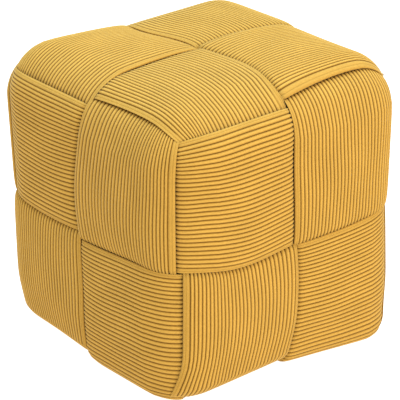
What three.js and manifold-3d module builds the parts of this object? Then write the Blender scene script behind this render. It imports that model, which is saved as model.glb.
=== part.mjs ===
// A cube ottoman wound with six wide padded corduroy bands in a plain weave.
// Millimetres, +Z up, origin on the floor under the middle. The front is -Y and the left side is -X.
// Two level rings, two bands over front, top and back, and two over left, top and right pass over and
// under each other. Each face shows two by two padded patches. The bands are wound on a covered block.

import * as THREE from 'three';
import Module from 'manifold-3d';

const wasm = await Module();
wasm.setup();

// The covered block
const BLOCK_HALF = 180;
const BLOCK_TOP = 380;
const BLOCK_FOOT = 12;
const RING_SPLIT = 190;
const EDGE_R = 66;
const FOOT_R = 34;
const PLINTH_HALF = 116;
const PLINTH_R = 30;
const ARC_STEPS = 5;
const ARC_START = THREE.MathUtils.degToRad(2);
const HALVINGS = 24;

// Layers over the block: the strap that passes under, then the pad that passes over
const STRAP_BASE = 1;
const STRAP_TOP = 6;
const STRAP_CLIMB = 11;
const PAD_BASE = 7;
const PAD_CROWN = 21;
const EDGE_CROWN_LOSS = 9;
const END_TOP = 9.4;
const NOSE_TIP = 11;
const OUTER_TIP = 15;
const FOOT_TOP = 9.5;

// Plan of a patch: distances from the middle lines of its face
const END_START = 4.5;
const END_GAP = 1.5;
const NOSE_OVERHANG = 1;
const NOSE_BOW = 4;
const EDGE_PARTING = 1.2;
const PARTING_FROM = 30;
const PARTING_TO = 6;
const STRAP_INNER = 9.4;
const STRAP_OUTER = 108;
const STRAP_LAP = 8.6;
const STRAP_LEVEL_FROM = 5;
const STRAP_LEVEL_TURN = 0.65;
const FOOT_SETBACK = 22;
const WRAP_LIFT = 16;
const TURN_UNDER = 24;
const FAN_FROM = 0.66;

// How far the rolled outer edge of a patch leans over the cube's edge, in degrees
const RING_LEAN = 38;
const UPRIGHT_LEAN = 43;
const TOP_LEAN = { x: 46, y: 41 };
const FOOT_ROLL = 62;
const FOOT_SPREAD = 50;

// Swell of a patch: how far in from its tucked ends and rolled edges it reaches its full crown
const END_SHOULDER = 46;
const SIDE_SHOULDER = 40;

// Corduroy ribs between the plain strips along the rolled edges
const RIB_PITCH = 6;
const RIB_DEPTH = 1.4;
const PLAIN_STRIP = 11;
const STRIP_ROLL = 4;

const MUSTARD = 0xdba546;
const BASE_CLOTH = 0x6e5220;

const { clamp, degToRad, lerp, smoothstep } = THREE.MathUtils;
const FULL_TURN = Math.PI / 2;
const CORNER_SINE = Math.sqrt(1 / 3);
const CORNER_TURN = FULL_TURN / 2;

// One side of the block: its outward direction, where its flat part ends, and the mid radius of a pad that
// wraps round its edge
function side(axis, sign) {
  const direction = new THREE.Vector3();
  direction[axis] = sign;
  const isFoot = axis === 'z' && sign < 0;
  const radius = isFoot ? FOOT_R : EDGE_R;
  let half = BLOCK_HALF;
  if (axis === 'z') half = isFoot ? RING_SPLIT - BLOCK_FOOT : BLOCK_TOP - RING_SPLIT;
  return { axis, direction, flat: half - radius, wrap: radius + WRAP_LIFT, isFoot };
}

// How far a band has turned round the edge at the end of its run, and how far it leans over the edge
// beside it
const turnOf = (run, runAt) => clamp((runAt - run.flat) / run.wrap, 0, FULL_TURN);
const leanOf = (across, acrossAt) => Math.max(0, (acrossAt - across.flat) / across.wrap);

// A point over the block, given on a quarter of a face: the distance along the band from the face's
// middle line, the distance across from the other middle line, and the height over the block. The top
// corners are round all over. At the foot a tighter rounding runs along the bottom of the upright edges.
function surfacePoint({ normal, run, across }, runAt, acrossAt, height) {
  const turn = turnOf(run, runAt);
  const lean = leanOf(across, acrossAt);
  const past = Math.max(0, runAt - run.flat - run.wrap * FULL_TURN);
  const reach = [Math.cos(lean) * Math.cos(turn), Math.cos(lean) * Math.sin(turn), Math.sin(lean)];
  let out = reach.map((share) => share * (EDGE_R + height));
  const inset = EDGE_R - FOOT_R;
  if (across.isFoot) {
    const level = inset + (FOOT_R + height) * Math.cos(lean);
    out = [level * Math.cos(turn), level * Math.sin(turn), (FOOT_R + height) * Math.sin(lean)];
  }
  if (run.isFoot) {
    const level = inset + (FOOT_R + height) * Math.cos(turn);
    out = [level * Math.cos(lean) - past, (FOOT_R + height) * Math.sin(turn), level * Math.sin(lean)];
  }
  const point = new THREE.Vector3(0, 0, RING_SPLIT);
  point.addScaledVector(normal.direction, normal.flat + out[0]);
  point.addScaledVector(run.direction, Math.min(runAt, run.flat) + out[1]);
  point.addScaledVector(across.direction, Math.min(acrossAt, across.flat) + out[2]);
  return point;
}

// A closed solid through rings with the same number of points. Each ring runs over the top from first
// to last and back underneath, with upperCount points on top. Faces are turned outwards.
function loft(rings, upperCount) {
  const size = rings[0].length;
  const positions = rings.flat().flatMap((point) => point.toArray());
  const triangles = [];
  for (let row = 0; row < rings.length - 1; row += 1) {
    const here = row * size;
    const next = here + size;
    for (let i = 0; i < size; i += 1) {
      const j = (i + 1) % size;
      triangles.push(here + i, here + j, next + j, here + i, next + j, next + i);
    }
  }
  const farEnd = (rings.length - 1) * size;
  for (const [a, b, c] of capTriangles(rings[0], upperCount)) triangles.push(a, c, b);
  for (const [a, b, c] of capTriangles(rings.at(-1), upperCount)) {
    triangles.push(farEnd + a, farEnd + b, farEnd + c);
  }
  if (signedVolume(positions, triangles) < 0) triangles.reverse();
  const vertProperties = new Float32Array(positions);
  const triVerts = new Uint32Array(triangles);
  return new wasm.Manifold(new wasm.Mesh({ numProp: 3, vertProperties, triVerts }));
}

// Triangles over the end of a loft, worked between its upper and its lower line of points by whichever
// next step is shorter
function capTriangles(ring, upperCount) {
  const size = ring.length;
  const upperEnd = upperCount - 1;
  const lowerEnd = size - upperEnd;
  const triangles = [];
  let upper = 0;
  let lower = 0;
  while (upper < upperEnd || lower < lowerEnd) {
    const low = (size - lower) % size;
    const lowNext = size - lower - 1;
    const upperStep = upper === upperEnd ? Infinity : ring[upper + 1].distanceTo(ring[low]);
    const lowerStep = lower === lowerEnd ? Infinity : ring[upper].distanceTo(ring[lowNext]);
    if (upperStep <= lowerStep) {
      if (upper !== low && upper + 1 !== low) triangles.push([upper, upper + 1, low]);
      upper += 1;
    } else {
      if (upper !== low && upper !== lowNext) triangles.push([upper, lowNext, low]);
      lower += 1;
    }
  }
  return triangles;
}

function signedVolume(positions, triangles) {
  const corner = (i) => new THREE.Vector3().fromArray(positions, triangles[i] * 3);
  let volume = 0;
  for (let i = 0; i < triangles.length; i += 3) {
    volume += corner(i).dot(corner(i + 1).cross(corner(i + 2)));
  }
  return volume;
}

// The lean of the rolled outer edge of a patch, by how far its band has turned
function outerLean({ normal, run, across }, turn) {
  if (across.isFoot) return degToRad(FOOT_ROLL);
  if (run.isFoot) return degToRad(lerp(UPRIGHT_LEAN, FOOT_SPREAD, (turn / FULL_TURN) ** 2));
  let lean = UPRIGHT_LEAN;
  if (normal.axis === 'z') lean = TOP_LEAN[across.axis];
  if (across.axis === 'z') lean = RING_LEAN;
  // At a top corner the three rolled edges meet in the middle of its rounding.
  const toCorner = Math.min(turn / CORNER_TURN, 1) ** 2;
  return Math.asin(lerp(Math.sin(degToRad(lean)), CORNER_SINE, toCorner));
}

// Turn at which a line of a band, with the given lean, dips under the rolled edge of the next patch
function tuckTurn(face, lean) {
  const next = { normal: face.run, run: face.across, across: face.normal };
  if (face.across.isFoot) return FULL_TURN - outerLean(next, lean);
  let low = 0;
  let high = FULL_TURN;
  for (let i = 0; i < HALVINGS; i += 1) {
    const turn = (low + high) / 2;
    const swing = Math.atan2(Math.sin(lean), Math.cos(lean) * Math.sin(turn));
    if (Math.cos(lean) * Math.cos(turn) > Math.sin(outerLean(next, swing))) low = turn;
    else high = turn;
  }
  return low;
}

// Quarter-round rise from 0 at an edge to 1 at the shoulder
function rise(distance, shoulder) {
  const gap = 1 - clamp(distance / shoulder, 0, 1);
  return Math.sqrt(1 - gap * gap);
}

// The plan of one patch: where each of its lines lies, and how high it stands
function patchPlan(face) {
  const { run, across } = face;
  const runTurned = run.flat + run.wrap * FULL_TURN;
  const outerAt = (runAt) => across.flat + across.wrap * outerLean(face, turnOf(run, runAt));
  const innerAt = (runAt) => {
    const parting = smoothstep(runAt, run.flat - PARTING_FROM, run.flat - PARTING_TO);
    const bow = NOSE_BOW * Math.sin(Math.PI * clamp(runAt / run.flat, 0, 1));
    return lerp(-NOSE_OVERHANG, EDGE_PARTING, parting) - bow;
  };
  const outerFlat = outerAt(0);
  const acrossAt = (share, runAt) => {
    const fan = smoothstep(share, FAN_FROM, 1) * (outerAt(runAt) - outerFlat);
    return lerp(innerAt(runAt), outerFlat, share) + fan;
  };
  const endAt = (share) => {
    if (run.isFoot) return runTurned + TURN_UNDER;
    const lean = leanOf(across, acrossAt(share, runTurned));
    return run.flat + run.wrap * tuckTurn(face, lean) - END_GAP;
  };
  const runAt = (share, station) => {
    if (station <= 1) return lerp(END_START, run.flat, station);
    return lerp(run.flat, endAt(share), station - 1);
  };
  const heightAt = (share, station) => {
    const at = runAt(share, station);
    const acrossHere = acrossAt(share, at);
    const start = rise(at - END_START, END_SHOULDER);
    const ends = start * (run.isFoot ? 1 : rise(endAt(share) - at, END_SHOULDER));
    const inner = rise(acrossHere - innerAt(at), SIDE_SHOULDER);
    const outer = rise(outerAt(at) - acrossHere, SIDE_SHOULDER);
    const toFoot = run.isFoot ? turnOf(run, at) / FULL_TURN : 0;
    const crown = lerp(PAD_CROWN - EDGE_CROWN_LOSS * turnOf(run, at), FOOT_TOP, toFoot);
    const tip = lerp(lerp(END_TOP, lerp(NOSE_TIP, OUTER_TIP, share), ends), FOOT_TOP, toFoot);
    return lerp(tip, crown, ends * inner * outer);
  };
  return { width: outerFlat, runAt, acrossAt, heightAt };
}

// Rows of a patch: 0 to 1 from the middle line to the cube's edge, 1 to 2 round it to the tuck, or down
// to the foot and under
const PATCH_ROWS = [0, 0.04, 0.3, 1, 1.55, 2];
const FOOT_PATCH_ROWS = [0, 0.04, 0.3, 1, 1.3, 1.6, 2];
// Columns of its underside, which stands a little further off round the cube's edge
const UNDERSIDE_COLUMNS = [
  { share: 0.95, lift: 1.6 },
  { share: 0.86, lift: 1.6 },
  { share: 0.77, lift: 1.2 },
  { share: 0.67, lift: 0.6 },
  { share: 0.06, lift: 0 },
];

// Columns over a patch, as shares of its width: the plain rolled edges, and between them the grooves and
// crests of the ribs in turn
function patchColumns(width) {
  const strip = PLAIN_STRIP / width;
  const edge = STRIP_ROLL / width;
  const lineCount = 2 * Math.round((width - 2 * PLAIN_STRIP) / RIB_PITCH);
  const columns = [{ share: 0, groove: 0 }, { share: edge, groove: 0 }];
  for (let i = 0; i <= lineCount; i += 1) {
    const share = lerp(strip, 1 - strip, i / lineCount);
    columns.push({ share, groove: i % 2 === 0 ? RIB_DEPTH : 0 });
  }
  columns.push({ share: 1 - edge, groove: 0 }, { share: 1, groove: 0 });
  return columns;
}

// One padded patch: crowned and ribbed on top, with rolled edges and two tucked ends
function patch(face) {
  const plan = patchPlan(face);
  const columns = patchColumns(plan.width);
  const rows = face.run.isFoot ? FOOT_PATCH_ROWS : PATCH_ROWS;
  const rings = rows.map((station) => {
    const place = (share, height) => {
      const runAt = plan.runAt(share, station);
      return surfacePoint(face, runAt, plan.acrossAt(share, runAt), height);
    };
    // The ribs are pressed flat where the band ends under the foot.
    const isPressed = face.run.isFoot && station === rows.at(-1);
    const upper = columns.map(({ share, groove }) => {
      return place(share, plan.heightAt(share, station) - (isPressed ? 0 : groove));
    });
    const isEnd = station === rows[0] || station === rows.at(-1);
    const lower = UNDERSIDE_COLUMNS.map(({ share, lift }) => place(share, PAD_BASE + (isEnd ? 0 : lift)));
    return [...upper, ...lower];
  });
  return loft(rings, columns.length);
}

// The thin stretch of a band that passes under a patch. It climbs into the same band's next patch
// across the middle line, and round the cube's edge into its other patch.
function strap(face) {
  const { run, across } = face;
  const runFlat = run.flat - (run.isFoot ? FOOT_SETBACK : 0);
  const outer = STRAP_OUTER - (across.isFoot ? FOOT_SETBACK : 0);
  const rows = [
    { at: -STRAP_LAP, top: STRAP_CLIMB },
    { at: -STRAP_LEVEL_FROM, top: STRAP_TOP },
    { at: runFlat, top: STRAP_TOP },
  ];
  for (let i = 1; i <= ARC_STEPS && !run.isFoot; i += 1) {
    const turned = i / ARC_STEPS;
    const top = turned > STRAP_LEVEL_TURN ? STRAP_CLIMB : STRAP_TOP;
    rows.push({ at: runFlat + run.wrap * FULL_TURN * turned, top });
  }
  const rings = rows.map(({ at, top }) => [
    surfacePoint(face, at, STRAP_INNER, top),
    surfacePoint(face, at, outer, top),
    surfacePoint(face, at, outer, STRAP_BASE),
    surfacePoint(face, at, STRAP_INNER, STRAP_BASE),
  ]);
  return loft(rings, 2);
}

// The order of normal, run and across axes on a quarter of a face turns one way in half of the eight
// corners and the other way in the rest, which is what makes the weave alternate.
const NEXT_AXIS = [
  { sense: 1, x: 'z', y: 'x', z: 'y' },
  { sense: -1, x: 'y', y: 'z', z: 'x' },
];

const BANDS = [
  { name: 'upper_ring_band', axis: 'z', sign: 1 },
  { name: 'lower_ring_band', axis: 'z', sign: -1 },
  { name: 'left_upright_band', axis: 'x', sign: -1 },
  { name: 'right_upright_band', axis: 'x', sign: 1 },
  { name: 'front_upright_band', axis: 'y', sign: -1 },
  { name: 'back_upright_band', axis: 'y', sign: 1 },
];

// Every patch and strap of one band, joined into one solid
function band({ axis, sign }) {
  const pieces = [];
  for (const x of [-1, 1]) {
    for (const y of [-1, 1]) {
      for (const z of [-1, 1]) {
        const corner = { x, y, z };
        const next = NEXT_AXIS.find(({ sense }) => sense === x * y * z);
        for (const normalAxis of ['x', 'y', 'z']) {
          if (normalAxis === 'z' && z < 0) continue;
          const runAxis = next[normalAxis];
          const acrossAxis = next[runAxis];
          const normal = side(normalAxis, corner[normalAxis]);
          const run = side(runAxis, corner[runAxis]);
          const across = side(acrossAxis, corner[acrossAxis]);
          const over = { normal, run, across };
          const under = { normal, run: across, across: run };
          if (acrossAxis === axis && corner[axis] === sign) pieces.push(patch(over));
          if (runAxis === axis && corner[axis] === sign) pieces.push(strap(under));
        }
      }
    }
  }
  return pieces.reduce((whole, piece) => whole.add(piece));
}

// The block: level rounded outlines stacked over a lower plinth that stands on the floor
function block() {
  const outline = (half, radius, level) => {
    const points = [];
    for (let quarter = 0; quarter < 4; quarter += 1) {
      for (let i = 0; i <= ARC_STEPS; i += 1) {
        const angle = (quarter + i / ARC_STEPS) * FULL_TURN;
        const turnX = Math.sign(Math.cos((quarter + 0.5) * FULL_TURN));
        const turnY = Math.sign(Math.sin((quarter + 0.5) * FULL_TURN));
        const x = turnX * (half - radius) + radius * Math.cos(angle);
        const y = turnY * (half - radius) + radius * Math.sin(angle);
        points.push(new THREE.Vector3(x, y, level));
      }
    }
    return points;
  };
  const rings = [outline(PLINTH_HALF, PLINTH_R, 0), outline(PLINTH_HALF, PLINTH_R, BLOCK_FOOT)];
  const flatHalf = BLOCK_HALF - EDGE_R;
  const angles = [];
  for (let i = 0; i <= ARC_STEPS; i += 1) angles.push(lerp(ARC_START, FULL_TURN, i / ARC_STEPS));
  for (const angle of angles) {
    const radius = EDGE_R - FOOT_R * (1 - Math.sin(angle));
    rings.push(outline(flatHalf + radius, radius, BLOCK_FOOT + FOOT_R * (1 - Math.cos(angle))));
  }
  for (const angle of angles.reverse()) {
    const radius = EDGE_R * Math.sin(angle);
    rings.push(outline(flatHalf + radius, radius, BLOCK_TOP - EDGE_R * (1 - Math.cos(angle))));
  }
  return loft(rings, rings[0].length / 2 + 1);
}

// A named mesh of its own material from a joined solid
function piece(name, solid, color) {
  const { vertProperties, triVerts } = solid.getMesh();
  const geometry = new THREE.BufferGeometry();
  geometry.setAttribute('position', new THREE.BufferAttribute(vertProperties, 3));
  geometry.setIndex(new THREE.BufferAttribute(triVerts, 1));
  geometry.computeVertexNormals();
  const material = new THREE.MeshStandardMaterial({ color, roughness: 0.95, metalness: 0 });
  const mesh = new THREE.Mesh(geometry, material);
  mesh.name = name;
  return mesh;
}

const ottoman = new THREE.Group();
ottoman.add(piece('block', block(), BASE_CLOTH));
for (const entry of BANDS) ottoman.add(piece(entry.name, band(entry), MUSTARD));

export default ottoman;
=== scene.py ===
import itertools
import math

import bpy
import numpy as np
from mathutils import Matrix, Vector


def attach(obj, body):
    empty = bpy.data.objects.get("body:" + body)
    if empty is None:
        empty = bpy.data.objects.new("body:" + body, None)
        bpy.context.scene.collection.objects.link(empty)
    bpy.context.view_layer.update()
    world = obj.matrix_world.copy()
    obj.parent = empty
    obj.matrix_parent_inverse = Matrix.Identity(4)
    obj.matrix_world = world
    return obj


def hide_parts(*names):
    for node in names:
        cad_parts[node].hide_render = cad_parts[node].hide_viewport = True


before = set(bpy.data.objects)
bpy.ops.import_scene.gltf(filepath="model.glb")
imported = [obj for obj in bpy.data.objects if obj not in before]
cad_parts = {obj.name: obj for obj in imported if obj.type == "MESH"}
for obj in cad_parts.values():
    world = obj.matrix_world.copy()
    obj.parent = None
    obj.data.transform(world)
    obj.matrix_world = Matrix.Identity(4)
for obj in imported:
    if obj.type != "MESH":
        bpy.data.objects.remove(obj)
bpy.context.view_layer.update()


# The covered block
# The cube that the bands are wound on: foam on a board, wrapped in a plain brown backing cloth that is
# stapled underneath. Slits of it show between the bands, and its underside stands on the floor.
def linear(hex_colour):
    """An sRGB hex colour as linear red, green and blue, with alpha."""
    channels = [int(hex_colour[i:i + 2], 16) / 255 for i in (1, 3, 5)]
    return [c / 12.92 if c <= 0.04045 else ((c + 0.055) / 1.055) ** 2.4 for c in channels] + [1]


def add_node(tree, kind, inputs=None, **settings):
    """Adds a node with its settings. Each input is a value, or an output of another node to link."""
    node = tree.nodes.new(kind)
    for name, value in settings.items():
        setattr(node, name, value)
    for socket, value in (inputs or {}).items():
        if isinstance(value, bpy.types.NodeSocket):
            tree.links.new(value, node.inputs[socket])
        else:
            node.inputs[socket].default_value = value
    return node


# Plain-woven cotton backing, matt, with its threads about 1.4 mm apart: dull brown with a faint grid.
# A wave texture turns by 20 radians in each unit of its scaled coordinate.
BACKING_THREAD_MM, WAVE_RADIANS = 1.3817, 20
backing = bpy.data.materials.new("plain_woven_cotton_backing")
backing.use_nodes = True
tree = backing.node_tree
place = add_node(tree, "ShaderNodeTexCoord").outputs["Object"]
threads = {"Vector": place, "Scale": 2 * math.pi / WAVE_RADIANS * 1000 / BACKING_THREAD_MM}
warp = add_node(tree, "ShaderNodeTexWave", threads, bands_direction="X")
weft = add_node(tree, "ShaderNodeTexWave", threads, bands_direction="Y")
weave = add_node(tree, "ShaderNodeMath", {0: warp.outputs["Fac"], 1: weft.outputs["Fac"]},
                 operation="MULTIPLY")
cloth_colour = add_node(tree, "ShaderNodeMix",
                        {0: weave.outputs[0], 6: linear("#6b4a18"), 7: linear("#8f6a28")},
                        data_type="RGBA")
relief = add_node(tree, "ShaderNodeBump", {"Height": weave.outputs[0], "Distance": 0.0003, "Strength": 0.5})
shader = tree.nodes["Principled BSDF"]
tree.links.new(cloth_colour.outputs[2], shader.inputs["Base Color"])
tree.links.new(relief.outputs[0], shader.inputs["Normal"])
shader.inputs["Roughness"].default_value = 0.95
shader.inputs["Specular IOR Level"].default_value = 0.2

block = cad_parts["block"]
block.data.materials.clear()
block.data.materials.append(backing)


# The six corduroy bands
# Wide tubes of wide-wale cotton corduroy, stuffed with wadding and woven over and under each other round
# the block. Each band swells into a pad where it passes over another and is drawn thin where it passes
# under, and the uprights are turned under the block at the foot.

# The block's half width, its top, its foot and the level where the two rings meet. All sizes here are in
# mm and all angles in degrees, and heights of the cloth stand on the block's surface.
BLOCK_HALF, BLOCK_TOP, BLOCK_FOOT, RING_SPLIT = 180, 380, 12, 190
QUARTER = math.pi / 2

# Radii of the cube's edges and of its foot, and the height at which a pad keeps its length in a bend
EDGE_R, FOOT_R, WRAP_LIFT = 50, 14, 16
# How the wadding eases a bend: the share that each neighbouring place along the band has in a point
EASES = {-24: 0.15, -12: 0.2, 0: 0.3, 12: 0.2, 24: 0.15}

# The crown of a pad on a side and on the top, and what it loses in each radian of a bend
SIDE_CROWN, TOP_CROWN, EDGE_CROWN_LOSS = 18, 14.5, 6
# The top of a pad at its tucked ends, along its nose, along its outer roll and at the foot
END_TOP, NOSE_TIP, OUTER_TIP, FOOT_TOP = 11, 14.5, 14.2, 9.5
# How far in from its ends and its sides a pad reaches its crown, and how full its shoulders are
END_SHOULDER, SIDE_SHOULDER, FULLNESS = 40, 20, 2.4

# How far the outer rolls lean over the cube's edges, and where the three rolls of a top corner meet
RING_LEAN, UPRIGHT_LEAN, TOP_LEAN = 38, 43, {"x": 46, "y": 41}
TOP_CORNER = {"x": 0.6, "y": 0.6, "z": 0.529}
# How far past the flat of a face a nose and a bowed roll go on, and where along it a nose drifts sideways
NOSE_PAST, ROLL_BOW_PAST, NOSE_DRIFT = 40, 70, (0.15, 0.85)
# The share of its width from which a pad fans out to its roll
FAN_FROM = 0.66
# How far a pad stops short of the next roll, or below 0 runs on under it, and the steps that find the place
END_GAP, HALVINGS = -2, 24

# At the foot: the lean of the lower ring's roll, how the uprights spread, how far the bands are drawn in,
# and how far the uprights are turned under
FOOT_ROLL, FOOT_SPREAD, SPREAD_REACH = 62, 52, 45
FOOT_DRAW, RING_DRAW, DRAW_REACH = 14, 10, 60
TURN_UNDER = 24

# How far the wadding and the weave push corners of the cube, or the middles of its edges, out of square.
# A push fades with the distance from its corner, broadly, or quickly upwards where a low corner is crisp.
# Nearness is 1 at the block's own corner, and is counted a little way out from there.
GIVES = {
    (-1, 1, 1): (-1.5, 2, 0.5), (-1, -1, 1): (1.5, -2, -1.5), (1, 1, 1): (0, -1, -2.5),
    (-1, -1, -1): (1.5, 9, 0), (1, -1, -1): (-7, -9, 0), (-1, 1, -1): (4, 0, 0),
    (0, -1, -1): (0, 4, 7), (-1, 0, -1): (-4, 0, 0), (0, 1, 1): (0, 0, -6),
    (1, -1, 0): (-6, 0, 0), (-1, 1, 0): (3, 0, 0),
}
CRISP_CORNERS = {(1, -1, -1): (13, -12, 0)}
BROAD_FADE, LOW_FADE, NEAREST = (1.5, 1.5, 1.5), (1.5, 1.5, 14), 1.1

# How single pads stray from the plain plan. A key says which way a pad faces, runs and rolls.
STRAYS = {
    "-y-x+z": dict(nose_start=-2.5, nose_edge=4, nose_bow=8, bow_at=0.55, roll_lean=37.5, start_gap=0.3,
                   stretch=0),
    "-y+x-z": dict(nose_start=4, nose_edge=0, nose_bow=-2, bow_at=0.55, stretch=-0.16),
    "-y+z+x": dict(nose_start=-5, nose_edge=-4, nose_bow=2.5, bow_at=0.65, roll_lean=41, start_gap=-1.6,
                   stretch=0),
    "-y-z-x": dict(nose_start=0, nose_edge=5, nose_bow=4, bow_at=0.45, roll_lean=40.5, stretch=0.18),
    "-x-y-z": dict(nose_start=8, nose_edge=-2.5, nose_bow=3, bow_at=0.3, stretch=-0.12),
    "-x+y+z": dict(nose_start=2.5, nose_edge=2, nose_bow=3, bow_at=0.45, roll_lean=35, stretch=0.15),
    "-x+z-y": dict(nose_start=-5.5, nose_edge=5, nose_bow=6.5, bow_at=0.4, roll_lean=42.5, stretch=0.25),
    "-x-z+y": dict(nose_start=1.5, nose_edge=7, nose_bow=6, bow_at=0.55),
    "+z-x+y": dict(nose_start=2.5, nose_edge=-11, nose_bow=-3.5, bow_at=0.65, start_shoulder=110, crown=18),
    "+z-y-x": dict(nose_start=-4, nose_edge=5.5, nose_bow=9.5, bow_at=0.55, roll_lean=47, roll_bow=5),
    "+z+x-y": dict(nose_start=-7, nose_edge=-0.5, nose_bow=7, bow_at=0.45, roll_lean=42, roll_bow=8.5,
                   roll_strip=13, crown=18),
    "+z+y+x": dict(nose_start=1.5, nose_edge=-4, nose_bow=9, bow_at=0.6, roll_lean=38, crown=17),
    "+x-y+z": dict(roll_lean=24, crown=14),
    "+x-z-y": dict(roll_lean=36, crown=14),
    "+y+z-x": dict(roll_lean=57),
}

# Widths of the plain sewn strips along a nose, along a ring's roll and along an upright's roll
NOSE_STRIP, RIM_STRIP, ROLL_STRIP = 7, 7.5, 9


def blend(x, low, high):
    """A smooth step from 0 at low to 1 at high."""
    t = np.clip((x - low) / (high - low), 0, 1)
    return t * t * (3 - 2 * t)


def swell(distance, shoulder):
    """A full, rounded rise from 0 at an edge to 1 at the shoulder."""
    gap = 1 - np.clip(distance / shoulder, 0, 1)
    return (1 - gap ** FULLNESS) ** (1 / FULLNESS)


class Side:
    """One side of the block: its direction, where its flat part ends and how a pad wraps round its edge."""

    def __init__(self, axis, sign):
        self.axis = axis
        self.name = "-+"[sign > 0] + axis
        self.opposite = "+-"[sign > 0] + axis
        self.direction = np.array([sign * (axis == name) for name in "xyz"])
        self.is_foot = axis == "z" and sign < 0
        radius = FOOT_R if self.is_foot else EDGE_R
        half = BLOCK_HALF
        if axis == "z":
            half = RING_SPLIT - BLOCK_FOOT if self.is_foot else BLOCK_TOP - RING_SPLIT
        self.flat = half - radius
        self.wrap = radius + WRAP_LIFT


class Pad:
    """The plan of one pad, on a quarter of a face. Its nose is its inner edge, and its roll its outer one.

    The nose lies at nose_start where the pad comes out from under its neighbour and at nose_edge by the
    cube's edge, and bows out by nose_bow, most at the share bow_at. Stretch widens the ribs by the nose.
    """
    every = {}

    def __init__(self, normal, run, across, nose_start=-1, nose_edge=1.2, nose_bow=4, bow_at=0.5,
                 roll_lean=None, roll_bow=0, roll_strip=None, start_gap=-0.7,
                 start_shoulder=END_SHOULDER, crown=None, stretch=0.08):
        self.normal, self.run, self.across = normal, run, across
        self.turned = run.flat + run.wrap * QUARTER
        self.nose_start, self.nose_edge, self.nose_bow = nose_start, nose_edge, nose_bow
        self.bow_power = math.log(0.5) / math.log(bow_at)
        self.start_gap, self.start_shoulder = start_gap, start_shoulder
        self.stretch = stretch
        self.roll_bow, self.roll_strip = roll_bow, roll_strip or ROLL_STRIP
        self.roll_lean = roll_lean or UPRIGHT_LEAN
        self.crown = crown or SIDE_CROWN
        if across.axis == "z":
            self.roll_lean, self.roll_strip = roll_lean or RING_LEAN, RIM_STRIP
        if normal.axis == "z":
            self.roll_lean = roll_lean or TOP_LEAN[across.axis]
            self.crown = crown or TOP_CROWN
        Pad.every[normal.name + run.name + across.name] = self

    def turn(self, at):
        """How far the band has turned round the cube's edge, at a place along it."""
        return np.clip((at - self.run.flat) / self.run.wrap, 0, QUARTER)

    def lean(self, across):
        """How far a line of the band leans over the cube's edge beside it."""
        return np.maximum(0, (across - self.across.flat) / self.across.wrap)

    def roll(self, at):
        """How far the rolled outer edge leans over the cube's edge."""
        if self.across.is_foot:
            return np.full_like(at, math.radians(FOOT_ROLL))
        if self.run.is_foot:
            spread = blend(at, self.run.flat - SPREAD_REACH, self.run.flat + SPREAD_REACH)
            return np.radians(self.roll_lean + (FOOT_SPREAD - self.roll_lean) * spread)
        bow = self.roll_bow * np.sin(np.pi * np.clip(at / (self.run.flat + ROLL_BOW_PAST), 0, 1))
        sine = np.sin(np.radians(self.roll_lean - bow))
        corner_turn = math.atan2(TOP_CORNER[self.run.axis], TOP_CORNER[self.normal.axis])
        to_corner = np.minimum(self.turn(at) / corner_turn, 1) ** 2
        return np.arcsin(sine + (TOP_CORNER[self.across.axis] - sine) * to_corner)

    def outer(self, at):
        """Where the roll lies across the face."""
        return self.across.flat + self.across.wrap * self.roll(at)

    def inner(self, at):
        """Where the nose lies across the face."""
        along = np.clip(at / (self.run.flat + NOSE_PAST), 0, 1)
        drift = (self.nose_edge - self.nose_start) * blend(along, *NOSE_DRIFT)
        return self.nose_start + drift - self.nose_bow * np.sin(np.pi * along ** self.bow_power) ** 2

    def width(self):
        """How far the roll lies from the face's middle line where the pad starts."""
        return float(self.outer(np.zeros(1))[0])

    def across_at(self, share, at):
        """Where a line of the band lies across the face: share 0 is the nose and 1 the roll."""
        inner = self.inner(at)
        fan = blend(share, FAN_FROM, 1) * (self.outer(at) - self.width())
        return inner + (self.width() - inner) * share + fan

    def start(self, share):
        """Where a line of the band comes out from under the nose beside it."""
        beside = Pad.every[self.normal.name + self.across.name + self.run.opposite]
        return self.start_gap - beside.inner(share * self.width())

    def end(self, share):
        """Where a line of the band dips under the rolled edge of the next pad."""
        if self.run.is_foot:
            return np.full_like(share, self.turned + TURN_UNDER)
        after = Pad.every[self.run.name + self.across.name + self.normal.name]
        across = self.across_at(share, np.full_like(share, self.turned))
        if self.across.is_foot:
            return self.run.flat + self.run.wrap * (QUARTER - after.roll(across)) - END_GAP
        lean = self.lean(across)
        low, high = np.zeros_like(lean), np.full_like(lean, QUARTER)
        for _ in range(HALVINGS):
            turn = (low + high) / 2
            swing = np.arctan2(np.sin(lean), np.cos(lean) * np.sin(turn))
            along = np.where(lean > 0, after.run.flat + after.run.wrap * swing, across)
            is_out = np.cos(lean) * np.cos(turn) > np.sin(after.roll(along))
            low, high = np.where(is_out, turn, low), np.where(is_out, high, turn)
        return self.run.flat + self.run.wrap * low - END_GAP

    def at(self, share, station):
        """The place along the band: station 0 at its start, 1 at the end of the flat and 2 at its end."""
        start = self.start(share)
        on_flat = start + (self.run.flat - start) * station
        past_flat = self.run.flat + (self.end(share) - self.run.flat) * (station - 1)
        return np.where(station <= 1, on_flat, past_flat)

    def heights(self, share, at):
        """The height of the cover, and of the edge of the band at the same place."""
        across = self.across_at(share, at)
        ends = swell(at - self.start(share), self.start_shoulder)
        if not self.run.is_foot:
            ends = ends * swell(self.end(share) - at, END_SHOULDER)
        sides = swell(across - self.inner(at), SIDE_SHOULDER)
        sides = sides * swell(self.outer(at) - across, SIDE_SHOULDER)
        to_foot = self.turn(at) / QUARTER * self.run.is_foot
        crown = self.crown - EDGE_CROWN_LOSS * self.turn(at)
        crown = crown + (FOOT_TOP - crown) * to_foot
        tip = END_TOP + (NOSE_TIP + (OUTER_TIP - NOSE_TIP) * share - END_TOP) * ends
        tip = tip + (FOOT_TOP - tip) * to_foot
        return tip + (crown - tip) * ends * sides, tip

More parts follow.
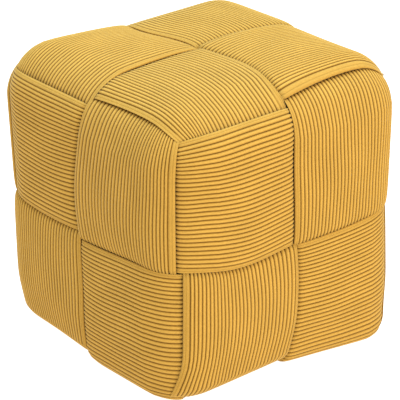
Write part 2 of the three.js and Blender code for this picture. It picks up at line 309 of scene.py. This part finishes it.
    def point(self, at, across, height):
        """A point over the block. Wadding eases the bend round an upright or a top edge, not the foot's."""
        if self.run.is_foot:
            return self.bent(at, across, height)
        return sum(part * self.bent(at + shift, across, height) for shift, part in EASES.items())

    def bent(self, at, across, height):
        """A point over the block, bent sharply round its edges, drawn in at the foot and out of square."""
        turn, lean = self.turn(at), self.lean(across)
        past = np.maximum(0, at - self.turned) * self.run.is_foot
        inset, foot_radius, edge_radius = EDGE_R - FOOT_R, FOOT_R + height, EDGE_R + height
        if self.across.is_foot:
            level = inset + foot_radius * np.cos(lean)
            out = level * np.cos(turn), level * np.sin(turn), foot_radius * np.sin(lean)
        elif self.run.is_foot:
            level = inset + foot_radius * np.cos(turn)
            out = level * np.cos(lean) - past, foot_radius * np.sin(turn), level * np.sin(lean)
        else:
            level = edge_radius * np.cos(lean)
            out = level * np.cos(turn), level * np.sin(turn), edge_radius * np.sin(lean)
        drawn = FOOT_DRAW * self.run.is_foot * blend(at, self.run.flat - DRAW_REACH, self.turned)
        if self.across.is_foot:
            foot_edge = self.across.flat + self.across.wrap
            drawn = RING_DRAW * blend(across, self.across.flat - DRAW_REACH, foot_edge)
        base = (self.normal.flat - drawn, np.minimum(at, self.run.flat),
                np.minimum(across, self.across.flat))
        spot = np.zeros(np.broadcast(at, across, height).shape + (3,))
        spot[..., 2] += RING_SPLIT
        for side, flat, reach in zip((self.normal, self.run, self.across), base, out):
            spot += np.asarray(flat + reach)[..., None] * side.direction
        place = (spot - (0, 0, RING_SPLIT)) / (BLOCK_HALF, BLOCK_HALF, RING_SPLIT)
        for gives, fade in ((GIVES, BROAD_FADE), (CRISP_CORNERS, LOW_FADE)):
            for corner, give in gives.items():
                near = np.where(corner, place * corner, 1 - np.abs(place))
                spot += (np.clip(near, 0, NEAREST) ** fade).prod(-1, keepdims=True) * give
        return spot


# At four of the corners the weave turns one way, and at four the other. The underside has no pads.
NEXT_AXIS = {1: {"x": "z", "y": "x", "z": "y"}, -1: {"x": "y", "y": "z", "z": "x"}}
for x, y, z in itertools.product((-1, 1), repeat=3):
    corner_signs = {"x": x, "y": y, "z": z}
    next_axis = NEXT_AXIS[x * y * z]
    for normal_axis in "xyz"[:2 + (z > 0)]:
        run_axis = next_axis[normal_axis]
        axes = normal_axis, run_axis, next_axis[run_axis]
        sides = [Side(axis, corner_signs[axis]) for axis in axes]
        Pad(*sides, **STRAYS.get("".join(side.name for side in sides), {}))

# Cloth simulation. The cover of each pad is a sheet that is sewn down all round and blown out by the
# wadding. Only its smooth swelling is kept, as a sum of a few waves over the sheet, and no point moves
# further than the cap.
COVER_COLUMNS, COVER_ROWS, COVER_FRAMES, COVER_WAVES = 17, 25, 20, 4
WADDING_PRESSURE, SWELL_CAP = 4, 5
TINY = 1e-9


def waves(share, station):
    """Each of the smooth swellings that a sheet sewn down all round can take."""
    across = [np.sin(i * np.pi * share) for i in range(1, COVER_WAVES + 1)]
    along = [np.sin(j * QUARTER * station) for j in range(1, COVER_WAVES + 1)]
    return np.stack([a * b for a in across for b in along], -1)


cover_share, cover_station = np.meshgrid(np.linspace(0, 1, COVER_COLUMNS), np.linspace(0, 2, COVER_ROWS))
is_sewn = (cover_share % 1 == 0) | (cover_station % 2 == 0)
covers = {}
for key, pad in Pad.every.items():
    cover_at = pad.at(cover_share, cover_station)
    cover_top, _ = pad.heights(cover_share, cover_at)
    sheet = pad.point(cover_at, pad.across_at(cover_share, cover_at), cover_top) / 1000
    bpy.ops.object.select_all(action="DESELECT")
    bpy.ops.mesh.primitive_grid_add(x_subdivisions=COVER_COLUMNS - 1, y_subdivisions=COVER_ROWS - 1, size=2)
    cover = bpy.context.object
    cover.data.vertices.foreach_set("co", sheet.ravel())
    cover.data.update()
    middle_face = cover.data.polygons[len(cover.data.polygons) // 2]
    if middle_face.normal @ Vector(pad.normal.direction) < 0:
        cover.data.flip_normals()
    sewn = cover.vertex_groups.new(name="sewn")
    sewn.add(np.flatnonzero(is_sewn).tolist(), 1, "REPLACE")
    bpy.ops.object.modifier_add(type="CLOTH")
    wadding = cover.modifiers[-1]
    wadding.settings.vertex_group_mass = "sewn"
    wadding.settings.use_pressure = True
    wadding.settings.uniform_pressure_force = WADDING_PRESSURE
    wadding.settings.effector_weights.gravity = 0
    wadding.point_cache.frame_end = COVER_FRAMES
    covers[key] = cover, sheet

for frame_number in range(1, COVER_FRAMES + 1):
    bpy.context.scene.frame_set(frame_number)

swellings = {}
for key, (cover, sheet) in covers.items():
    bpy.ops.object.select_all(action="DESELECT")
    cover.select_set(True)
    bpy.context.view_layer.objects.active = cover
    bpy.ops.object.modifier_apply(modifier=cover.modifiers[-1].name)
    blown = np.empty(sheet.size)
    cover.data.vertices.foreach_get("co", blown)
    move = (blown.reshape(sheet.shape) - sheet) * 1000
    length = np.maximum(np.linalg.norm(move, axis=-1, keepdims=True), TINY)
    move = (move * np.minimum(1, SWELL_CAP / length)).reshape(-1, 3)
    shapes = waves(cover_share, cover_station).reshape(len(move), -1)
    swellings[key] = np.linalg.lstsq(shapes, move, rcond=None)[0]
    bpy.ops.object.delete()
bpy.context.scene.frame_set(1)

# Wide-wale corduroy: broad ribs about 6 mm apart, with grooves that deepen at a tuck, and a plain strip
# with one crease along a band's nose and along its roll. Lines over a rib or a strip are shares of it.
RING_RIBS, UPRIGHT_RIBS, RIB_FULLNESS = 29, 28, 2.4
RIB_DEPTH, DEEPER_AT_ENDS, DEEPER_REACH = 1.3, 1.2, 7
RIB_PHASES = (0, 0.07, 0.18, 0.34, 0.5, 0.66, 0.82, 0.93)
STRIP_LINES = (0, 0.1, 0.23, 0.35, 0.42, 0.49, 0.64, 0.82)
# These piles also set the colour, so the strips' crease and the pads' undersides are coloured darker than a
# crest as painted shade.
STRIP_CREASE, STRIP_PILE, CREASE_PILE, UNDERSIDE_PILE = 0.42, 0.82, 0.55, 0.5
# How the ribs waver: by how much and over what length, and its slant over a pad and step from pad to pad
WAVERS = ((0.6, 34, 3.1, 1), (0.4, 15, -4.7, 2.3))

# Rows along a pad, and those of the thin tails that run on under its neighbours
START_ROWS, END_ROWS = 20, 18
START_TAIL = (-110, -64, -28, -18, -11, -6, -3)
END_TAIL = (1.5, 5, 10, 20, 34)
# The strap that a tail becomes: its two sides and its heights, and how soon the pad thins to it
STRAP_INNER, STRAP_OUTER, STRAP_TOP, STRAP_BASE = 9.4, 108, 5.5, 1.2
TAIL_DROP, STRAP_FROM, THINNED = 10, 0.5, (-2, 4)
# Loops round a pad's edges and underside, which stands off the block by the base and a lift
EDGE_ROLL, ROLL_ANGLES = 7, np.radians((18, 36, 54, 72, 90))
PAD_BASE, EDGE_BASE, EDGE_THICKNESS = 7, 10.8, 2
UNDER_SHARES = (0.93, 0.84, 0.75, 0.65, 0.45, 0.25, 0.07)
UNDER_LIFTS = np.array((2.3, 2, 1.2, 0.6, 0, 0.8, 2))
# How high over the floor the cloth stays, and within how many metres points of a mesh are merged
FLOOR_REST, MERGED = 0.5, 1e-6


def pad_columns(pad):
    """Shares over the top of a pad with the height of the pile on each: 0 in a groove and 1 on a crest."""
    width, ribs = pad.width(), RING_RIBS if pad.across.axis == "z" else UPRIGHT_RIBS
    ribbed = width - NOSE_STRIP - pad.roll_strip
    phases = [i + phase for i in range(ribs) for phase in RIB_PHASES] + [ribs]
    nose = [line * NOSE_STRIP for line in STRIP_LINES]
    roll = [width - line * pad.roll_strip for line in reversed(STRIP_LINES)]
    strip_piles = [CREASE_PILE if line == STRIP_CREASE else STRIP_PILE for line in STRIP_LINES]
    piles = [1 - abs(2 * (phase % 1) - 1) ** RIB_FULLNESS for phase in phases]
    laid = [phase / ribs * (1 + pad.stretch * (1 - phase / ribs)) for phase in phases]
    across = nose + [NOSE_STRIP + ribbed * share for share in laid] + roll
    return np.array(across) / width, np.array(strip_piles + piles + strip_piles[::-1])


def pad_surface(key, seed):
    """Rows of points along a pad, each one loop round it: over the top, round the roll, underneath, round
    the nose. With them come the pile, the nearness of a tuck, and the place on the cloth."""
    pad = Pad.every[key]
    shares, piles = pad_columns(pad)
    start, end = pad.start(shares), pad.end(shares)
    past_steps = np.linspace(0, 1, END_ROWS)[1:]
    end_tail = ()
    if not pad.run.is_foot:
        past_steps = 1 - (1 - past_steps) ** 2
        end_tail = END_TAIL
    steps = np.concatenate([np.linspace(0, 1, START_ROWS) ** 2, 1 + past_steps])
    rows = [start + reach for reach in START_TAIL]
    rows += [pad.at(shares, step) for step in steps]
    rows += [end + reach for reach in end_tail]
    at = np.array(rows)
    station = np.concatenate([np.zeros(len(START_TAIL)), steps, np.full(len(end_tail), 2)])[:, None]

    # The ribs waver a little between the plain strips.
    share = np.broadcast_to(shares, at.shape)
    waver = sum(size * np.sin(at / length + share * slant + seed * step)
                for size, length, slant, step in WAVERS)
    share = share + waver * np.sqrt(np.sin(np.pi * share)) / pad.width()

    # Heights of the top and the underside. Off its ends the pad thins to a strap under its neighbour.
    before = np.clip((start - at) / TAIL_DROP, 0, 1)
    after = np.clip((at - end) / TAIL_DROP, 0, 1) * (not pad.run.is_foot)
    tail = np.maximum(before, after)
    top, tip = pad.heights(share, np.clip(at, start, end))
    top = top + (STRAP_TOP - top) * tail
    tip = tip + (STRAP_TOP - tip) * tail
    near_end = np.minimum(at - start, np.where(pad.run.is_foot, np.inf, end - at))
    thinned = 1 - blend(near_end, *THINNED)
    base = PAD_BASE + (STRAP_BASE - PAD_BASE) * thinned
    edge_base = np.minimum(EDGE_BASE, tip - EDGE_THICKNESS)
    edge_base = edge_base + (STRAP_BASE - edge_base) * thinned
    across = pad.across_at(share, at)
    strap = STRAP_INNER + (STRAP_OUTER - STRAP_INNER) * share
    across = across + (strap - across) * blend(tail, STRAP_FROM, 1)

    def rolled_edge(column, inward, angles):
        """Points round the edge at a column. Inward is 1 or -1, the way across to the pad's middle."""
        drop = (edge_base - tip)[:, [column]] * np.sin(angles)
        turned = across[:, [column]] + inward * EDGE_ROLL * (1 - np.cos(angles))
        return np.broadcast_to(at[:, [column]], drop.shape), turned, tip[:, [column]] + drop

    under = [int(np.abs(shares - place).argmin()) for place in UNDER_SHARES]
    underside = at[:, under], across[:, under], base[:, under] + UNDER_LIFTS * (1 - tail[:, under])
    loops = [(at, across, top), rolled_edge(-1, -1, ROLL_ANGLES), underside,
             rolled_edge(0, 1, ROLL_ANGLES[::-1])]
    at, across, height = (np.concatenate(part, 1) for part in zip(*loops))
    spots = pad.point(at, across, height)
    spots[:, :len(shares)] += waves(share, np.broadcast_to(station, share.shape)) @ swellings[key]

    # The grooves are pressed in along the cloth's own normal, deeper near a tuck.
    others = at.shape[1] - len(shares)
    pile = np.broadcast_to(np.concatenate([piles, np.full(others, UNDERSIDE_PILE)]), at.shape)
    tuck = 1 - blend(np.pad(near_end, ((0, 0), (0, others)), mode="edge"), 0, DEEPER_REACH)
    along = np.gradient(spots, axis=0)
    sideways = np.roll(spots, -1, 1) - np.roll(spots, 1, 1)
    outward = np.cross(along, sideways)
    outward /= np.maximum(np.linalg.norm(outward, axis=-1, keepdims=True), TINY)
    middle = outward[at.shape[0] // 2, len(shares) // 2]
    outward *= np.sign(middle @ pad.normal.direction)
    is_ribbed = np.arange(at.shape[1]) < len(shares)
    groove = RIB_DEPTH * (1 + DEEPER_AT_ENDS * tuck) * (1 - pile) * is_ribbed
    spots = spots - outward * groove[..., None]
    spots[..., 2] = np.maximum(spots[..., 2], FLOOR_REST)
    return spots / 1000, pile, tuck, np.stack([across, at], -1) / 1000


def pad_mesh(key, seed):
    """One pad as a closed mesh: a plain grid is laid over its points, closed into a tube and capped.

    The grid reaches from -1 to 1 both ways, so a vertex's place on it gives its row and column.
    """
    spots, pile, tuck, cloth = pad_surface(key, seed)
    row_count, loop_count = pile.shape
    bpy.ops.object.select_all(action="DESELECT")
    bpy.ops.mesh.primitive_grid_add(x_subdivisions=loop_count, y_subdivisions=row_count - 1, size=2,
                                    calc_uvs=True)
    made = bpy.context.object
    mesh = made.data
    flat = np.empty(len(mesh.vertices) * 3)
    mesh.vertices.foreach_get("co", flat)
    flat = flat.reshape(-1, 3)
    column = np.rint((flat[:, 0] + 1) / 2 * loop_count).astype(int) % loop_count
    row = np.rint((flat[:, 1] + 1) / 2 * (row_count - 1)).astype(int)
    mesh.vertices.foreach_set("co", spots[row, column].ravel())
    # Besides the shape, the wale attribute colours the grooves darker and the tuck attribute darkens the
    # colour near the tucks: both are painted shade.
    for name, values in (("wale", pile), ("tuck", tuck)):
        attribute = mesh.attributes.new(name, "FLOAT", "POINT")
        attribute.data.foreach_set("value", values[row, column].astype(np.float32))
    corner = np.empty(len(mesh.loops), int)
    mesh.loops.foreach_get("vertex_index", corner)
    mesh.uv_layers.active.uv.foreach_set("vector", cloth[row, column][corner].ravel())
    bpy.ops.object.mode_set(mode="EDIT")
    bpy.ops.mesh.select_all(action="SELECT")
    bpy.ops.mesh.remove_doubles(threshold=MERGED)
    bpy.ops.mesh.fill_holes(sides=0)
    bpy.ops.mesh.select_all(action="SELECT")
    bpy.ops.mesh.normals_make_consistent(inside=False)
    bpy.ops.object.mode_set(mode="OBJECT")
    bpy.ops.object.shade_smooth()
    return made


# Cotton corduroy, mustard, cut pile: soft bright crests, and painted shade in the grooves, which are
# coloured dark brown-orange, with more painted shade, browner, near the tucks; a faint bloom at glancing
# angles and fine mottling where the pile lies differently. The pile's own streaks are drawn 1.2 mm wide,
# coarser than the real fibres, so that they show.
STREAK_WIDTH, STREAK_LENGTH, LAY_WIDTH, LAY_LENGTH = 1.2, 4, 45, 60
corduroy = bpy.data.materials.new("wide_wale_cotton_corduroy")
corduroy.use_nodes = True
tree = corduroy.node_tree
wale = add_node(tree, "ShaderNodeAttribute", attribute_name="wale").outputs["Fac"]
tuck = add_node(tree, "ShaderNodeAttribute", attribute_name="tuck").outputs["Fac"]
cloth = add_node(tree, "ShaderNodeUVMap").outputs["UV"]
streaks = add_node(tree, "ShaderNodeMapping",
                   {"Vector": cloth, "Scale": (1000 / STREAK_WIDTH, 1000 / STREAK_LENGTH, 1)})
pile_noise = add_node(tree, "ShaderNodeTexNoise", {"Vector": streaks.outputs[0], "Scale": 1, "Detail": 3})
patches = add_node(tree, "ShaderNodeMapping",
                   {"Vector": cloth, "Scale": (1000 / LAY_WIDTH, 1000 / LAY_LENGTH, 1)})
lay_noise = add_node(tree, "ShaderNodeTexNoise", {"Vector": patches.outputs[0], "Scale": 1, "Detail": 2})
# Painted shade in the grooves: the lower the pile, the darker the colour, from dark brown in a groove to
# mustard on a crest.
groove_shade_ramp = add_node(tree, "ShaderNodeValToRGB", {"Fac": wale})
groove_shade_ramp.color_ramp.elements[0].color = linear("#532d00")
groove_shade_ramp.color_ramp.elements[1].color = linear("#c0923f")
groove_shade_ramp.color_ramp.elements[1].position = 0.95
streaked = add_node(tree, "ShaderNodeMapRange",
                    {"Value": pile_noise.outputs["Fac"], "From Min": 0.25, "From Max": 0.75,
                     "To Min": 0.9, "To Max": 1.08})
laid = add_node(tree, "ShaderNodeMapRange",
                {"Value": lay_noise.outputs["Fac"], "From Min": 0.3, "From Max": 0.7,
                 "To Min": 0.95, "To Max": 1.05})
# Painted shade near the tucks: the colour darkens by up to a fifth where the cloth runs under a neighbour.
tuck_shade = add_node(tree, "ShaderNodeMapRange", {"Value": tuck, "To Min": 1, "To Max": 0.8})
tone = add_node(tree, "ShaderNodeMath", {0: streaked.outputs[0], 1: laid.outputs[0]}, operation="MULTIPLY")
# The streaks and mottling of the pile, times the painted shade near the tucks.
tone_and_tuck_shade = add_node(tree, "ShaderNodeMath", {0: tone.outputs[0], 1: tuck_shade.outputs[0]}, operation="MULTIPLY")
# The corduroy's colour with its painted shade in the grooves and near the tucks, and the pile's streaks and
# mottling.
colour_with_painted_shade = add_node(tree, "ShaderNodeVectorMath", {0: groove_shade_ramp.outputs["Color"], "Scale": tone_and_tuck_shade.outputs[0]},
                operation="SCALE")
nap = add_node(tree, "ShaderNodeBump",
               {"Height": pile_noise.outputs["Fac"], "Distance": 0.0004, "Strength": 0.5})
shader = tree.nodes["Principled BSDF"]
tree.links.new(colour_with_painted_shade.outputs[0], shader.inputs["Base Color"])
tree.links.new(nap.outputs[0], shader.inputs["Normal"])
shader.inputs["Roughness"].default_value = 0.9
shader.inputs["Specular IOR Level"].default_value = 0.05
shader.inputs["Sheen Weight"].default_value = 0.25
shader.inputs["Sheen Roughness"].default_value = 0.3
shader.inputs["Sheen Tint"].default_value = linear("#f6ffd8")

# A band is all the pads that roll over the same side of the cube.
BANDS = {"+z": "upper_ring", "-z": "lower_ring", "-x": "left_upright", "+x": "right_upright",
         "-y": "front_upright", "+y": "back_upright"}
for rolled_side, name in BANDS.items():
    parts = [pad_mesh(key, seed) for seed, key in enumerate(Pad.every) if key.endswith(rolled_side)]
    bpy.ops.object.select_all(action="DESELECT")
    for part in parts:
        part.select_set(True)
    bpy.context.view_layer.objects.active = parts[0]
    bpy.ops.object.join()
    band = bpy.context.object
    band.name = name + "_corduroy"
    band.data.materials.clear()
    band.data.materials.append(corduroy)
    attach(band, "root")
    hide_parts(name + "_band")


# The studio
# An opal acrylic sheet that is lit from below, so that the cube throws almost no shadow on it, white walls
# all round, a large soft light nearly straight in front and a cooler softbox overhead.
FLOOR_SIZE = 12
bpy.ops.object.select_all(action="DESELECT")
bpy.ops.mesh.primitive_plane_add(size=FLOOR_SIZE)
floor = bpy.context.object
floor.name = "studio_floor"

# Opal acrylic, cast with a matt face and lit from below: it glows evenly white and mirrors nothing.
opal = bpy.data.materials.new("lit_opal_acrylic")
opal.use_nodes = True
shader = opal.node_tree.nodes["Principled BSDF"]
shader.inputs["Base Color"].default_value = linear("#a39f98")
shader.inputs["Roughness"].default_value = 0.95
shader.inputs["Emission Color"].default_value = linear("#ffffff")
shader.inputs["Emission Strength"].default_value = 1.06
floor.data.materials.append(opal)

world = bpy.data.worlds.new("white_walls")
world.use_nodes = True
walls = world.node_tree.nodes["Background"]
walls.inputs["Color"].default_value = linear("#ffffff")
walls.inputs["Strength"].default_value = 0.84
bpy.context.scene.world = world
bpy.context.scene.view_settings.view_transform = "Standard"

# Each light's place and width in metres, its power in watts and its colour
STUDIO_LIGHTS = {"soft_key_light": ((0.2, -2.6, 1.4), 1.8, 50, "#fffaf2"),
                 "overhead_softbox": ((0, 0.3, 3.0), 3.0, 165, "#b8d8ff")}
LIT_SPOT = Vector((0, 0, 0.2))
for name, (place, width, power, colour) in STUDIO_LIGHTS.items():
    bpy.ops.object.light_add(type="AREA", location=place)
    light = bpy.context.object
    light.name = name
    light.data.shape = "DISK"
    light.data.size = width
    light.data.energy = power
    light.data.color = linear(colour)[:3]
    light.rotation_euler = (LIT_SPOT - light.location).to_track_quat("-Z", "Y").to_euler()


# The camera
# A long lens at the photograph's angle. Its direction, distance and framing are fitted to the bands' seams,
# in an image of 400 by 400 pixels, and it is turned so that the cube's middle lies where it does there.
AZIMUTH, ELEVATION, TILT = math.radians(-38.49), math.radians(24.29), math.radians(-0.8)
DISTANCE, FOCAL_PX, IMAGE_PX, SENSOR_MM = 2.678, 2027, 400, 36
CUBE_MIDDLE, MIDDLE_PX = Vector((0, 0, 0.19)), (200.5, 193.3)
level = Vector((math.cos(AZIMUTH), math.sin(AZIMUTH), 0))
forward = Vector((-math.sin(AZIMUTH), math.cos(AZIMUTH), 0))
back = Vector((0, 0, math.sin(ELEVATION))) - forward * math.cos(ELEVATION)
right = Matrix.Rotation(TILT, 3, back) @ level
up = back.cross(right)
stand = CUBE_MIDDLE + back * DISTANCE
off_right, off_up = IMAGE_PX / 2 - MIDDLE_PX[0], MIDDLE_PX[1] - IMAGE_PX / 2
aim = CUBE_MIDDLE + (right * off_right + up * off_up) * (DISTANCE / FOCAL_PX)
backward = (stand - aim).normalized()
right = up.cross(backward).normalized()
up = backward.cross(right)
bpy.ops.object.camera_add(location=stand)
camera = bpy.context.object
camera.data.sensor_width = SENSOR_MM
camera.data.lens = FOCAL_PX / IMAGE_PX * SENSOR_MM
camera.rotation_euler = Matrix((right, up, backward)).transposed().to_euler()
bpy.context.scene.camera = camera
